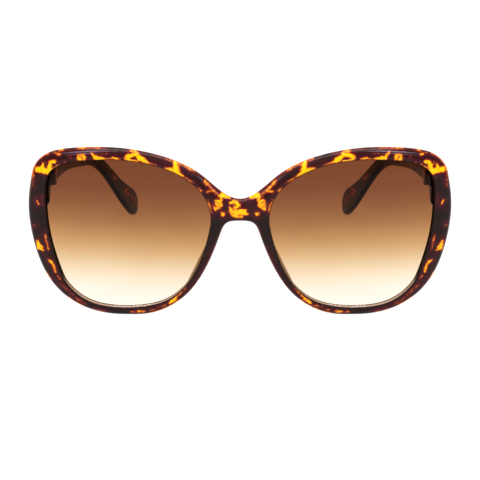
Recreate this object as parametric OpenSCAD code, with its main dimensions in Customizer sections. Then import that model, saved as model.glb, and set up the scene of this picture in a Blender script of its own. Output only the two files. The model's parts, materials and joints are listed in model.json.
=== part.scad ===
// Cat eye sunglasses with an acetate frame, open and resting on a table.
// X runs across the face, +Y points back along the temples, +Z is up.
// The rims and both temple tips stand on z = 0. Left means the wearer's left, at +X.

/* [Front] */
// Width of the front across the two outer corners (mm)
front_w = 145; // [120:1:160]
// Height of the front from the rim bottoms to the brow (mm)
front_h = 58; // [40:1:66]
// Thickness of the acetate sheet (mm)
front_t = 4; // [3:0.1:6]
// Radius of the front's curve across the face (mm)
wrap_r = 215; // [120:5:600]
// Radius of the front's curve from brow to rim bottom (mm)
brow_r = 200; // [120:5:600]
// Rounding of the outer edge of the rims (mm)
edge_r = 1.7; // [0.5:0.1:2]
// How far the brow face is crowned forward between its edges (mm)
crown = 0.25; // [0:0.05:0.8]

/* [Lenses] */
// Thickness of a lens (mm)
lens_t = 1.8; // [1.2:0.1:3]
// Depth of the V groove that holds a lens (mm)
groove_d = 0.75; // [0.4:0.05:1.2]

/* [Temples] */
// Reach of a temple behind its hinge (mm)
arm_l = 138; // [110:1:150]
// Distance between the temple centre lines at the hinges (mm)
arm_span = 137.2; // [110:0.2:160]
// Thickness of a temple at the hinge (mm)
butt_t = 4.4; // [3:0.1:6]
// Thickness of a temple at its tip (mm)
tip_t = 2.7; // [2:0.1:5]

/* [Hinges] */
// Height of the hinge axis centre above the table (mm)
hinge_z = 46.5; // [40:0.5:50]
// Radius of a hinge knuckle (mm)
knuckle_r = 1.3; // [1:0.1:2]
// Height of the whole hinge (mm)
hinge_h = 7; // [5:0.5:9]
// Radius of the hinge screw (mm)
screw_r = 0.65; // [0.5:0.05:0.9]

/* [Hidden] */

// Scales that carry the drawn outlines to the chosen front size.
kx = front_w / 145;
kz = front_h / 58;
half_t = front_t / 2;

// Control points of the lens opening at +X, from the outer corner down and round.
opening = [
  [66, 41.5], [66, 28], [61.5, 12.5], [60, 9.5], [51.5, 1.5], [29.5, 3], [20.5, 8.5], [13.5, 18],
  [10.5, 29.5], [9, 36], [12, 45.5], [25.5, 53], [41.5, 54.5], [49, 53.5], [59, 53], [65.5, 48.5]
];

// Control points of the outer outline of the +X half, from the top of the bridge
// over the brow, down the outer corner and back under the rim to the bridge.
outline = [
  [0, 39], [10, 47.5], [14, 51], [23.5, 55.5], [39.5, 58.5], [57, 57.5], [66, 55.5], [70.5, 50.5],
  [71, 47], [73, 38], [72, 25.5], [67.5, 10.5], [57.5, 2], [46, -0.5], [38.5, 0], [28, 0.5],
  [15, 9.5], [7, 27.5], [5.5, 34.5], [0, 34.5]
];

// Where the rim is cut across: opening parameter against outline parameter.
cuts = [
  [9.55, 0], [9.85, 1], [10.34, 2], [10.98, 3], [11.98, 4], [13.6, 5], [14.5, 6], [15.05, 7],
  [15.46, 8], [16.27, 9], [17.1, 10], [18.15, 11], [19.5, 12], [20.2, 13], [20.6, 14],
  [21.25, 15], [22.4, 16], [23.8, 17], [24.6, 18], [24.95, 19]
];

// Temple centre line: distance from the middle plane and height, evenly spaced along Y.
arm_x = [0, 0.2, 0, -0.6, -5.2, -12, -16.6];
arm_z = [46.5, 45.1, 43.7, 39.2, 36.2, 14.6, 2.7];
// Half height of a temple, evenly spaced along Y.
arm_half = [4.1, 5, 4.6, 4.3, 4, 3.7, 3.4, 3.1, 2.9, 3.4, 4.8, 6.4, 6.6];

// Cubic B-spline piece through four control values.
function blend(a, b, c, d, t) =
  (pow(1 - t, 3) * a + (3 * t * t * t - 6 * t * t + 4) * b
  + (3 * t + 3 * t * t - 3 * t * t * t + 1) * c + t * t * t * d) / 6;
function slope(a, b, c, d, t) =
  (-pow(1 - t, 2) * a + (3 * t * t - 4 * t) * b
  + (1 + 2 * t - 3 * t * t) * c + t * t * d) / 2;

// Closed curve of the lens opening.
function ring_of(c, i) = c[(i + 2 * len(c)) % len(c)];
function open_at(t) =
  let (i = floor(t), f = t - i, c = opening)
  scaled(blend(ring_of(c, i - 1), ring_of(c, i), ring_of(c, i + 1), ring_of(c, i + 2), f));
function open_dir(t) =
  let (i = floor(t), f = t - i, c = opening)
  scaled(slope(ring_of(c, i - 1), ring_of(c, i), ring_of(c, i + 1), ring_of(c, i + 2), f));

// Outer curve, mirrored across the middle plane at both ends.
function flip(p) = [-p[0], p[1]];
function edge_c(i) = i < 0 ? flip(outline[1]) : i > 19 ? flip(outline[18]) : outline[i];
function edge_at(t) =
  let (i = min(floor(t), 18), f = t - i)
  scaled(blend(edge_c(i - 1), edge_c(i), edge_c(i + 1), edge_c(i + 2), f));
function edge_dir(t) =
  let (i = min(floor(t), 18), f = t - i)
  scaled(slope(edge_c(i - 1), edge_c(i), edge_c(i + 1), edge_c(i + 2), f));
function scaled(p) = [p[0] * kx, p[1] * kz];
function unit(v) = v / norm(v);
function smooth(a, b, x) = let (t = min(1, max(0, (x - a) / (b - a)))) t * t * (3 - 2 * t);

// Middle surface of the front: set back towards the sides, the brow and the rim bottoms.
mid_z = front_h * 0.48;
function mid_y(p) = p[0] * p[0] / (2 * wrap_r) + pow(p[1] - mid_z, 2) / (2 * brow_r);

// Hinge axis: just inside the temple's inner face, in the plane where the temple butts on.
hinge_gap = 0.2;
hinge_back = 4.1;
butt_gap = 0.1;
hinge_x = arm_span / 2 - butt_t / 2 - hinge_gap - knuckle_r;
hinge_y = mid_y([arm_span / 2, hinge_z]) + half_t + hinge_back;
arm_seg = arm_l / 6;
tilt = atan((arm_z[0] - arm_z[1]) / arm_seg);

// The lug: the outer corner reaches back to the plane where the temple butts on.
lug_low = 35.3;
lug_high = 50.6;
function butt_y(z) = hinge_y + (z - hinge_z) * tan(tilt);
function lug_share(p) =
  smooth(lug_low - 1.4, lug_low + 0.4, p[1]) * (1 - smooth(lug_high - 0.6, lug_high + 1.6, p[1]))
  * smooth(hinge_x + knuckle_r + 0.1, hinge_x + knuckle_r + 1.1, p[0]);
function back_t(p) =
  half_t + lug_share(p) * (butt_y(p[1]) - butt_gap - mid_y(p) - half_t);

// Points of one cut across the rim: groove, inner wall, crowned front face, rounded
// outer edge, back face. The first ten are groove lip to edge, the rest come back.
edge_angles = [-90, -55, -20, 20, 55, 90];
inner_r = 0.45;
lip = 0.7;
function at(p, d) = [p[0], mid_y(p) + d, p[1]];
function rim_cut(t) =
  let (
    a = open_at(t), b = edge_at(lookup(t, cuts)), v = edge_dir(lookup(t, cuts)),
    n = unit([-v[1], v[0]]), w = norm(b - a), e = unit(b - a), r = min(edge_r, 0.4 * w),
    f = a + e * inner_r, g = b - n * r, m = (f + g) / 2, in = min(r, inner_r)
  )
  concat(
    [at(a, -lip), at(a, -half_t + in), at(f, -half_t), at(m, -half_t - crown * min(1, w / 6))],
    [for (k = edge_angles) let (q = b - n * r * (1 - cos(k)))
      at(q, (k < 0 ? half_t : back_t(g)) * sin(k))],
    [at(m, back_t(m)), at(f, back_t(f)), at(a, back_t(a) - in), at(a, lip), at(a + e * groove_d, 0)]
  );
// A cut that ends on the middle plane inside the bridge.
function bridge_cut(t, share) =
  let (
    a = open_at(t), top = edge_at(0)[1] - edge_r, low = edge_at(19)[1] + edge_r,
    g = [0, top + (low - top) * share], e = unit(g - a),
    f = a + e * inner_r, m = (f + g) / 2, rise = crown * sin(180 * share)
  )
  concat(
    [at(a, -lip), at(a, -half_t + inner_r), at(f, -half_t), at(m, -half_t - crown)],
    [for (k = edge_angles) at(g, k < 0 ? -half_t - rise : half_t)],
    [at(m, half_t), at(f, half_t), at(a, half_t - inner_r), at(a, lip), at(a + e * groove_d, 0)]
  );

// Stations round the opening, closer together at the bridge and at the lug.
first_cut = 9.55;
last_cut = 24.95;
stations = concat(
  [for (t = [first_cut : 0.05 : 10.25]) t], [for (t = [10.35 : 0.17 : 14.5]) t],
  [for (t = [14.6 : 0.08 : 17.2]) t], [for (t = [17.3 : 0.16 : 24.2]) t],
  [for (t = [24.3 : 0.08 : last_cut - 0.05]) t], [last_cut]
);
bridge_steps = 4;
cut_n = 15;
station_n = len(stations);
half_points = [
  for (t = stations) each rim_cut(t),
  for (k = [1 : bridge_steps])
    each bridge_cut(last_cut + k * (first_cut + 16 - last_cut) / (bridge_steps + 1),
      1 - k / (bridge_steps + 1))
];
all_n = station_n + bridge_steps;
// Faces between neighbouring cuts. Cuts that meet the middle plane have no outer edge.
function is_bridge(i) = i >= station_n;
half_faces = [
  for (i = [0 : all_n - 1]) let (j = (i + 1) % all_n)
    for (k = [0 : cut_n - 1]) let (l = (k + 1) % cut_n)
      if (!((is_bridge(i) || is_bridge(j)) && k >= 4 && k < 9))
        each [[i * cut_n + k, i * cut_n + l, j * cut_n + l], [i * cut_n + k, j * cut_n + l, j * cut_n + k]]
];
point_n = len(half_points);
front_points = concat(half_points, [for (p = half_points) [-p[0], p[1], p[2]]]);
front_faces = concat(half_faces, [for (f = half_faces) [f[2] + point_n, f[1] + point_n, f[0] + point_n]]);

// Temple: width, height and centre line at distance d behind the hinge.
function row_c(c, i) =
  i < 0 ? 2 * c[0] - c[1] : i >= len(c) ? 2 * c[len(c) - 1] - c[len(c) - 2] : c[i];
function row_at(c, u) =
  let (s = u * (len(c) - 1), i = min(floor(s), len(c) - 2))
  blend(row_c(c, i - 1), row_c(c, i), row_c(c, i + 1), row_c(c, i + 2), s - i);
function row_slope(c, u) =
  let (s = u * (len(c) - 1), i = min(floor(s), len(c) - 2))
  slope(row_c(c, i - 1), row_c(c, i), row_c(c, i + 1), row_c(c, i + 2), s - i) * (len(c) - 1);
tip_r = 8.5;
stem_t = 3.8;
root_l = 14;
thin_from = 45;
thin_to = 112;
flare_h = 6.6;
flare_l = 3.6;
function arm_end(d) = let (u = max(0, (d - arm_l + tip_r) / tip_r)) sqrt(max(0.02, 1 - u * u));
function arm_w(d) =
  butt_t + (stem_t - butt_t) * smooth(0, root_l, d) + (tip_t - stem_t) * smooth(thin_from, thin_to, d);
function arm_flare(d) = flare_h * exp(-pow(d / flare_l, 2));
function arm_turn(d) = atan(-row_slope(arm_z, d / arm_l) / arm_l);
function arm_axis(d) =
  [arm_span / 2 + row_at(arm_x, d / arm_l), hinge_y + d, row_at(arm_z, d / arm_l)];

// One rounded section of the temple, square to its run in side view.
corner_steps = [0, 30, 60, 90];
function section(c, a, hx, up, dn, r) = [
  for (q = [[1, 1, 0], [-1, 1, 90], [-1, -1, 180], [1, -1, 270]]) for (s = corner_steps)
    let (
      h = q[1] > 0 ? up : dn,
      x = q[0] * (hx - r) + r * cos(q[2] + s), v = q[1] * (h - r) + r * sin(q[2] + s)
    )
    [c[0] + x, c[1] + v * sin(a), c[2] + v * cos(a)]
];
function arm_section(d) =
  let (
    e = arm_end(d), hx = arm_w(d) / 2 * (0.55 + 0.45 * e), h = row_at(arm_half, d / arm_l) * e,
    r = min(1.35, min(hx, h) * 0.8)
  )
  section(arm_axis(d), arm_turn(d), hx, h, h + arm_flare(d), r);
arm_stops = concat(
  [for (d = [0 : 0.9 : 9]) d], [for (d = [11 : 3.2 : arm_l - tip_r]) d],
  [for (a = [10 : 10 : 90]) arm_l - tip_r + tip_r * sin(a)]
);

// Skin over a run of equal rings, closed with flat ends.
function skin_faces(rings, n) = concat(
  [for (i = [0 : rings - 2]) for (k = [0 : n - 1]) let (l = (k + 1) % n)
    each [[i * n + k, i * n + l, (i + 1) * n + l], [i * n + k, (i + 1) * n + l, (i + 1) * n + k]]],
  [[for (k = [n - 1 : -1 : 0]) k]], [[for (k = [0 : n - 1]) (rings - 1) * n + k]]
);
arm_points = [for (d = arm_stops) each arm_section(d)];

// Everything is shifted so that the open glasses sit centred on the origin.
y_min = min([for (p = front_points) p[1]]);
y_max = max([for (p = arm_points) p[1]]);
z_min = min([for (p = concat(front_points, arm_points)) p[2]]);
y_shift = -(y_min + y_max) / 2;
module placed() translate([0, y_shift, -z_min]) children();
module on_right() mirror([1, 0, 0]) children();
// Frame of the left hinge: origin on its axis, Z along the axis, Y along the temple.
module at_hinge() translate([hinge_x, hinge_y, hinge_z]) rotate([-tilt, 0, 0]) children();

// The front: both rims, brow, bridge and lugs cut from one acetate sheet.
module front_frame()
  color([0.2, 0.08, 0.06]) placed() polyhedron(points = front_points, faces = front_faces);

// A lens: a curved sheet whose V edge sits in the groove of the rim.
lens_edge = 0.62;
lens_lip = 0.56;
lens_n = 72;
lens_rings = [0.28, 0.55, 0.8, 0.985];
lens_mid = scaled([39, 29]);
function lens_rim(k, s, d) =
  let (t = k * 16 / lens_n, v = open_dir(t), n = unit([-v[1], v[0]]), p = open_at(t) + n * s)
  at(p, d);
function lens_in(k, f, d) =
  let (t = k * 16 / lens_n, p = lens_mid + (open_at(t) - lens_mid) * f)
  at(p, d);
lens_list = [
  for (f = lens_rings) for (k = [0 : lens_n - 1]) lens_in(k, f, -lens_t / 2),
  for (k = [0 : lens_n - 1]) lens_rim(k, 0, -lens_lip),
  for (k = [0 : lens_n - 1]) lens_rim(k, lens_edge, 0),
  for (k = [0 : lens_n - 1]) lens_rim(k, 0, lens_lip),
  for (i = [3 : -1 : 0]) let (f = lens_rings[i]) for (k = [0 : lens_n - 1]) lens_in(k, f, lens_t / 2)
];
lens_levels = 11;
lens_top = len(lens_list);
lens_points = concat(lens_list, [at(lens_mid, -lens_t / 2), at(lens_mid, lens_t / 2)]);
lens_faces = concat(
  [for (i = [0 : lens_levels - 2]) for (k = [0 : lens_n - 1]) let (l = (k + 1) % lens_n)
    each [[i * lens_n + l, i * lens_n + k, (i + 1) * lens_n + l],
      [(i + 1) * lens_n + l, i * lens_n + k, (i + 1) * lens_n + k]]],
  [for (k = [0 : lens_n - 1]) [k, (k + 1) % lens_n, lens_top]],
  [for (k = [0 : lens_n - 1]) let (b = (lens_levels - 1) * lens_n)
    [b + (k + 1) % lens_n, b + k, lens_top + 1]]
);
module lens_left()
  color([0.5, 0.3, 0.18, 0.6]) placed() polyhedron(points = lens_points, faces = lens_faces);
module lens_right() on_right() lens_left();

// A nose pad: a bead bonded along the inner back of the rim below the bridge.
// Each entry is the place across and up, the radius and how far the pad stands proud.
pad_beads = [[10, 27, 1.3, 3.2], [11.5, 21.8, 1.7, 5.2], [13.8, 16.6, 1.8, 5.6], [17.3, 11.8, 1.4, 3.6]];
pad_bite = 0.7;
pad_lean = 0.3;
pad_nose = 0.85;
module nose_pad_left()
  color([0.35, 0.22, 0.16]) placed() hull()
    for (b = pad_beads) let (x = b[0] * kx, z = b[1] * kz, y = mid_y([x, z]) + half_t) {
      translate([x, y + b[2] - pad_bite, z]) sphere(r = b[2], $fn = 24);
      translate([x - pad_lean, y + b[3] - b[2] * pad_nose, z]) sphere(r = b[2] * pad_nose, $fn = 24);
    }
module nose_pad_right() on_right() nose_pad_left();

// Hinge of five knuckles: three on the front's leaf, two on the temple's leaf.
knuckle_gap = 0.1;
knuckle_h = (hinge_h - 4 * knuckle_gap) / 5;
function knuckle_z(k) = -hinge_h / 2 + k * (knuckle_h + knuckle_gap);
module knuckle(k, bore)
  translate([0, 0, knuckle_z(k)]) difference() {
    cylinder(r = knuckle_r, h = knuckle_h, $fn = 48);
    translate([0, 0, -1]) cylinder(r = bore, h = knuckle_h + 2, $fn = 32);
  }
// A web runs from a knuckle to its leaf, cut clear of the screw.
module web(k, y0, y1, bore)
  translate([0, 0, knuckle_z(k)]) difference() {
    translate([0, y0, 0]) cube([knuckle_r, y1 - y0, knuckle_h]);
    translate([0, 0, -1]) cylinder(r = bore, h = knuckle_h + 2, $fn = 32);
  }
front_bore = screw_r + 0.02;
arm_bore = screw_r + 0.06;
leaf_y = -4.2;
module front_hinge_left()
  color([0.3, 0.27, 0.24]) placed() at_hinge() {
    for (k = [0, 2, 4]) {
      knuckle(k, front_bore);
      web(k, leaf_y + 0.2, 0, front_bore);
    }
    translate([0, leaf_y, -hinge_h / 2]) cube([4.2, 1.2, hinge_h]);
  }
module front_hinge_right() on_right() front_hinge_left();

// The temple's leaf: a plate let into the temple's inner face.
plate_x = knuckle_r + hinge_gap - 0.9;
plate_y = 2;
plate_l = 9;
plate_t = 1.5;
module temple_hinge_left()
  color([0.3, 0.27, 0.24]) placed() at_hinge() {
    for (k = [1, 3]) {
      knuckle(k, arm_bore);
      web(k, 0, plate_y + 0.3, arm_bore);
    }
    translate([plate_x, plate_y, -hinge_h / 2 + 0.5]) cube([plate_t, plate_l, hinge_h - 1]);
  }
module temple_hinge_right() on_right() temple_hinge_left();

// The hinge screw: a plain shaft with a slotted head above the top knuckle.
head_h = 0.6;
head_r = 1.05;
slot_w = 0.3;
module hinge_screw_left()
  color([0.8, 0.78, 0.72]) placed() at_hinge() difference() {
    union() {
      translate([0, 0, -hinge_h / 2]) cylinder(r = screw_r, h = hinge_h + 0.2, $fn = 32);
      translate([0, 0, hinge_h / 2 + 0.05]) cylinder(r = head_r, h = head_h, $fn = 32);
    }
    translate([-head_r - 1, -slot_w / 2, hinge_h / 2 + head_h - 0.2]) cube([2 * head_r + 2, slot_w, 1]);
  }
module hinge_screw_right() on_right() hinge_screw_left();

// A temple: straight to the ear, then curved down and in to a broad rounded tip.
module temple_left()
  color([0.2, 0.08, 0.06]) placed() translate([0, butt_gap, 0])
    polyhedron(points = arm_points, faces = skin_faces(len(arm_stops), 16));
module temple_right() on_right() temple_left();

// The stiffening wire inside a temple, from the hinge plate to the tip.
core_stops = [for (d = [12 : 4 : 124]) d];
wire_x = 0.55;
wire_z = 1.3;
wire_r = 0.4;
core_points = [
  for (d = core_stops) each section(arm_axis(d), arm_turn(d), wire_x, wire_z, wire_z, wire_r)
];
module temple_core_left()
  color([0.7, 0.66, 0.55]) placed()
    polyhedron(points = core_points, faces = skin_faces(len(core_stops), 16));
module temple_core_right() on_right() temple_core_left();

front_frame();
lens_left();
lens_right();
nose_pad_left();
nose_pad_right();
front_hinge_left();
front_hinge_right();
hinge_screw_left();
hinge_screw_right();
temple_left();
temple_right();
temple_hinge_left();
temple_hinge_right();
temple_core_left();
temple_core_right();
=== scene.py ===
"""Cat eye sunglasses dressed for a studio picture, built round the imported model.

The shape functions repeat those that draw the solids, at a finer step. They work in
millimetres, with the front's middle surface at y = 0, and place() carries their points
into the shared frame in metres.
"""
import json
import math

import bpy
import numpy as np
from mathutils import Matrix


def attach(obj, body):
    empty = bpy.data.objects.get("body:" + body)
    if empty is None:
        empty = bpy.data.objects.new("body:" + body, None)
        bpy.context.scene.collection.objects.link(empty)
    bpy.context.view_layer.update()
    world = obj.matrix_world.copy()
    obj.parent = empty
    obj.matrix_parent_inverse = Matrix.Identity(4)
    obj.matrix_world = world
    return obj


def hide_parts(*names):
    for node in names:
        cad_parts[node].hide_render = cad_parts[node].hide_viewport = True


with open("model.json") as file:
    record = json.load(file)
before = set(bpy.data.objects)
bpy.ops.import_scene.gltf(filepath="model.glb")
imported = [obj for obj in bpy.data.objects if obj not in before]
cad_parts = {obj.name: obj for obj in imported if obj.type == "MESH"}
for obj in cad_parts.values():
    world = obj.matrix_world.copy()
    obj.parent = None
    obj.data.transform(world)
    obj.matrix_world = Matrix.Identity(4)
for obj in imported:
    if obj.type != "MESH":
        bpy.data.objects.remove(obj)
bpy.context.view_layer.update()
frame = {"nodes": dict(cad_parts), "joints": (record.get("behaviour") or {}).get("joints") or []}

MM = 0.001
SIDES = {"left": 1, "right": -1}

# Front: half thickness, curve radii, edge rounding and crown.
HALF_T = 2.0
WRAP_R = 215.0
BROW_R = 200.0
MID_Z = 27.84
EDGE_R = 1.7
CROWN = 0.25
CROWN_WIDTH = 6.0
INNER_R = 0.45
LIP = 0.7
GROOVE = 0.75
LENS_HALF = 0.9

# Temples: reach, centre line at the hinge, and thickness at the butt, stem and tip.
ARM_L = 138.0
ARM_X = 68.6
BUTT_T = 4.4
STEM_T = 3.8
TIP_T = 2.7
TIP_R = 8.5
BUTT_GAP = 0.1
# The hinge axis: its place and its distance behind the front's back face.
HINGE_X = 64.9
HINGE_Z = 46.5
HINGE_BACK = 4.1

# Control points of the lens opening and of the front's outer edge, on the +X half. A
# fitting program gave them, from edges traced in the photograph, rounded to 0.5 mm.
OPENING = np.array([
    [66, 41.5], [66, 28], [61.5, 12.5], [60, 9.5], [51.5, 1.5], [29.5, 3], [20.5, 8.5],
    [13.5, 18], [10.5, 29.5], [9, 36], [12, 45.5], [25.5, 53], [41.5, 54.5], [49, 53.5],
    [59, 53], [65.5, 48.5],
])
OUTLINE = np.array([
    [0, 39], [10, 47.5], [14, 51], [23.5, 55.5], [39.5, 58.5], [57, 57.5], [66, 55.5],
    [70.5, 50.5], [71, 47], [73, 38], [72, 25.5], [67.5, 10.5], [57.5, 2], [46, -0.5],
    [38.5, 0], [28, 0.5], [15, 9.5], [7, 27.5], [5.5, 34.5], [0, 34.5],
])
# Where the rim is cut across: opening parameter against outline parameter.
CUTS = np.array([
    [9.55, 0], [9.85, 1], [10.34, 2], [10.98, 3], [11.98, 4], [13.6, 5], [14.5, 6],
    [15.05, 7], [15.46, 8], [16.27, 9], [17.1, 10], [18.15, 11], [19.5, 12], [20.2, 13],
    [20.6, 14], [21.25, 15], [22.4, 16], [23.8, 17], [24.6, 18], [24.95, 19],
])
# Temple centre line and half height, evenly spaced along it. A fitting program's values
# for the far half were changed.
ARM_X_OFF = np.array([0, 0.2, 0, -0.6, -5.2, -12, -16.6])
ARM_Z = np.array([46.5, 45.1, 43.7, 39.2, 36.2, 14.6, 2.7])
ARM_HALF = np.array([4.1, 5, 4.6, 4.3, 4, 3.7, 3.4, 3.1, 2.9, 3.4, 4.8, 6.4, 6.6])


# ---- curves -------------------------------------------------------------------------

def spline_weights(f):
    return np.stack([(1 - f) ** 3, 3 * f ** 3 - 6 * f ** 2 + 4,
                     1 + 3 * f + 3 * f ** 2 - 3 * f ** 3, f ** 3], -1) / 6


def slope_weights(f):
    return np.stack([-(1 - f) ** 2, 3 * f ** 2 - 4 * f, 1 + 2 * f - 3 * f ** 2, f ** 2], -1) / 2


def on_spline(control, t, last, weights):
    """Values of a uniform cubic B-spline whose control row has one extra value at each end."""
    t = np.asarray(t, float)
    i = np.minimum(np.floor(t).astype(int), last)
    near = control[i[..., None] + np.arange(4)]
    w = weights(t - i)
    return (w[..., None] * near).sum(-2) if near.ndim > w.ndim else (w * near).sum(-1)


def opening_at(t, weights=spline_weights):
    count = len(OPENING)
    ring = OPENING[np.arange(-1, count + 2) % count]
    return on_spline(ring, np.mod(t, count), count - 1, weights)


def outline_at(t, weights=spline_weights):
    flip = np.array([-1, 1])
    row = np.concatenate([[OUTLINE[1] * flip], OUTLINE, [OUTLINE[-2] * flip]])
    return on_spline(row, t, len(OUTLINE) - 2, weights)


def along_arm(values, d, weights=spline_weights):
    row = np.concatenate([[2 * values[0] - values[1]], values, [2 * values[-1] - values[-2]]])
    last = len(values) - 2
    return on_spline(row, np.asarray(d, float) / ARM_L * (last + 1), last, weights)


def unit(v):
    return v / np.linalg.norm(v, axis=-1, keepdims=True)


def smooth(a, b, x):
    t = np.clip((x - a) / (b - a), 0, 1)
    return t * t * (3 - 2 * t)


def mid_y(p):
    return p[..., 0] ** 2 / (2 * WRAP_R) + (p[..., 1] - MID_Z) ** 2 / (2 * BROW_R)


HINGE_Y = float(mid_y(np.array([ARM_X, HINGE_Z]))) + HALF_T + HINGE_BACK
# The hinge leans so that it's square to the temple where the temple starts.
TILT = math.atan((ARM_Z[0] - ARM_Z[1]) / (ARM_L / (len(ARM_Z) - 1)))

# The hinge axis is in both frames, so it gives the shift between them.
hinge_joint = next(j for j in frame["joints"] if j["name"] == "temple_left_fold")
hinge_at = np.array(hinge_joint["pos_m"]) / MM
SHIFT = hinge_at - np.array([HINGE_X, HINGE_Y, HINGE_Z])


def place(points):
    return (points + SHIFT) * MM


# ---- tortoiseshell pattern ----------------------------------------------------------
# A fleck is a tapered stroke: across, up and half width at one end, then at the other,
# in mm. The strokes follow the photograph: they were read off enlarged crops, and the
# first of them turned from crop places into mm by another program. The sheet is
# matched at the bridge, so the two halves mirror each other.

YELLOW = [
    # splash at the outer corner
    (68.5, 49.8, 0.7, 66.5, 49.8, 0.8), (66.5, 49.8, 0.85, 64.7, 49.4, 0.8),
    (66.4, 50.4, 0.6, 66.2, 51.9, 0.05), (65.2, 49.2, 0.5, 64.6, 48.4, 0.15),
    (64.5, 49.5, 0.75, 63.9, 50.9, 0.6), (63.9, 50.9, 0.6, 63.5, 52.3, 0.3),
    (63.5, 52.5, 0.36, 62, 52.7, 0.36), (64, 49.3, 0.5, 62.4, 50.3, 0.35),
    (62.4, 50.3, 0.35, 60.4, 51.8, 0.08),
    # over the brow
    (53.6, 54.2, 0.3, 53, 53.9, 0.35), (51.9, 55.1, 0.3, 51.6, 54.6, 0.3),
    (49.2, 56.2, 0.08, 48, 55, 0.28), (48, 54.6, 0.45, 46.6, 54.5, 0.45),
    (46.6, 54.5, 0.4, 44.6, 54.4, 0.15), (41.9, 54.9, 0.05, 40.2, 54.5, 0.14),
    (37.2, 55.4, 0.4, 35.3, 56, 0.45), (35.3, 56, 0.4, 33.6, 56.3, 0.3),
    (37.4, 54.9, 0.35, 36, 54.2, 0.3), (36, 54.2, 0.3, 33.7, 53.9, 0.2),
    (33.2, 55.3, 0.6, 31.7, 54.4, 0.65), (31.7, 54.4, 0.6, 30.3, 53.7, 0.2),
    (21.4, 54.2, 0.3, 21.1, 52.6, 0.6), (21.1, 52.6, 0.6, 20.8, 51.2, 0.75),
    (24.6, 51.9, 0.02, 22.6, 51.6, 0.5), (22.6, 51.6, 0.45, 20.9, 51, 0.7),
    (20.4, 50.6, 0.5, 19.4, 49.9, 0.22), (19.4, 49.9, 0.2, 18.2, 49.2, 0.04),
    # beside the bridge
    (5.8, 43.5, 0.45, 5.1, 43.1, 0.45), (5.1, 43.1, 0.4, 3.3, 42.4, 0.04),
    (6.3, 43.1, 0.35, 6, 41.8, 0.3), (8, 41.6, 0.12, 7.9, 40, 0.28),
    (7.9, 40, 0.28, 8.05, 38.7, 0.2), (7.6, 41.7, 0.22, 6.5, 41.5, 0.32),
    (6.5, 41.5, 0.36, 6.3, 40.1, 0.32), (6.3, 40.1, 0.3, 7.2, 39.3, 0.3),
    (5.9, 37.7, 0.12, 5.6, 37, 0.28), (5.3, 37.7, 0.12, 5.6, 37, 0.25),
    # down the side and under the lens
    (69.5, 24.9, 0.3, 69.2, 22.9, 0.55), (69.4, 24.4, 0.3, 68.2, 23, 0.35),
    (69.3, 22.7, 0.5, 67.6, 22, 0.12), (65.8, 18.5, 0.08, 64.9, 17.9, 0.25),
    (64.9, 17.9, 0.25, 64.1, 16.6, 0.22), (64.1, 16.6, 0.22, 63.6, 14.5, 0.12),
    (24, 5.5, 0.2, 23, 6.4, 0.45), (23, 6.4, 0.45, 21.9, 7.2, 0.25),
]
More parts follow.
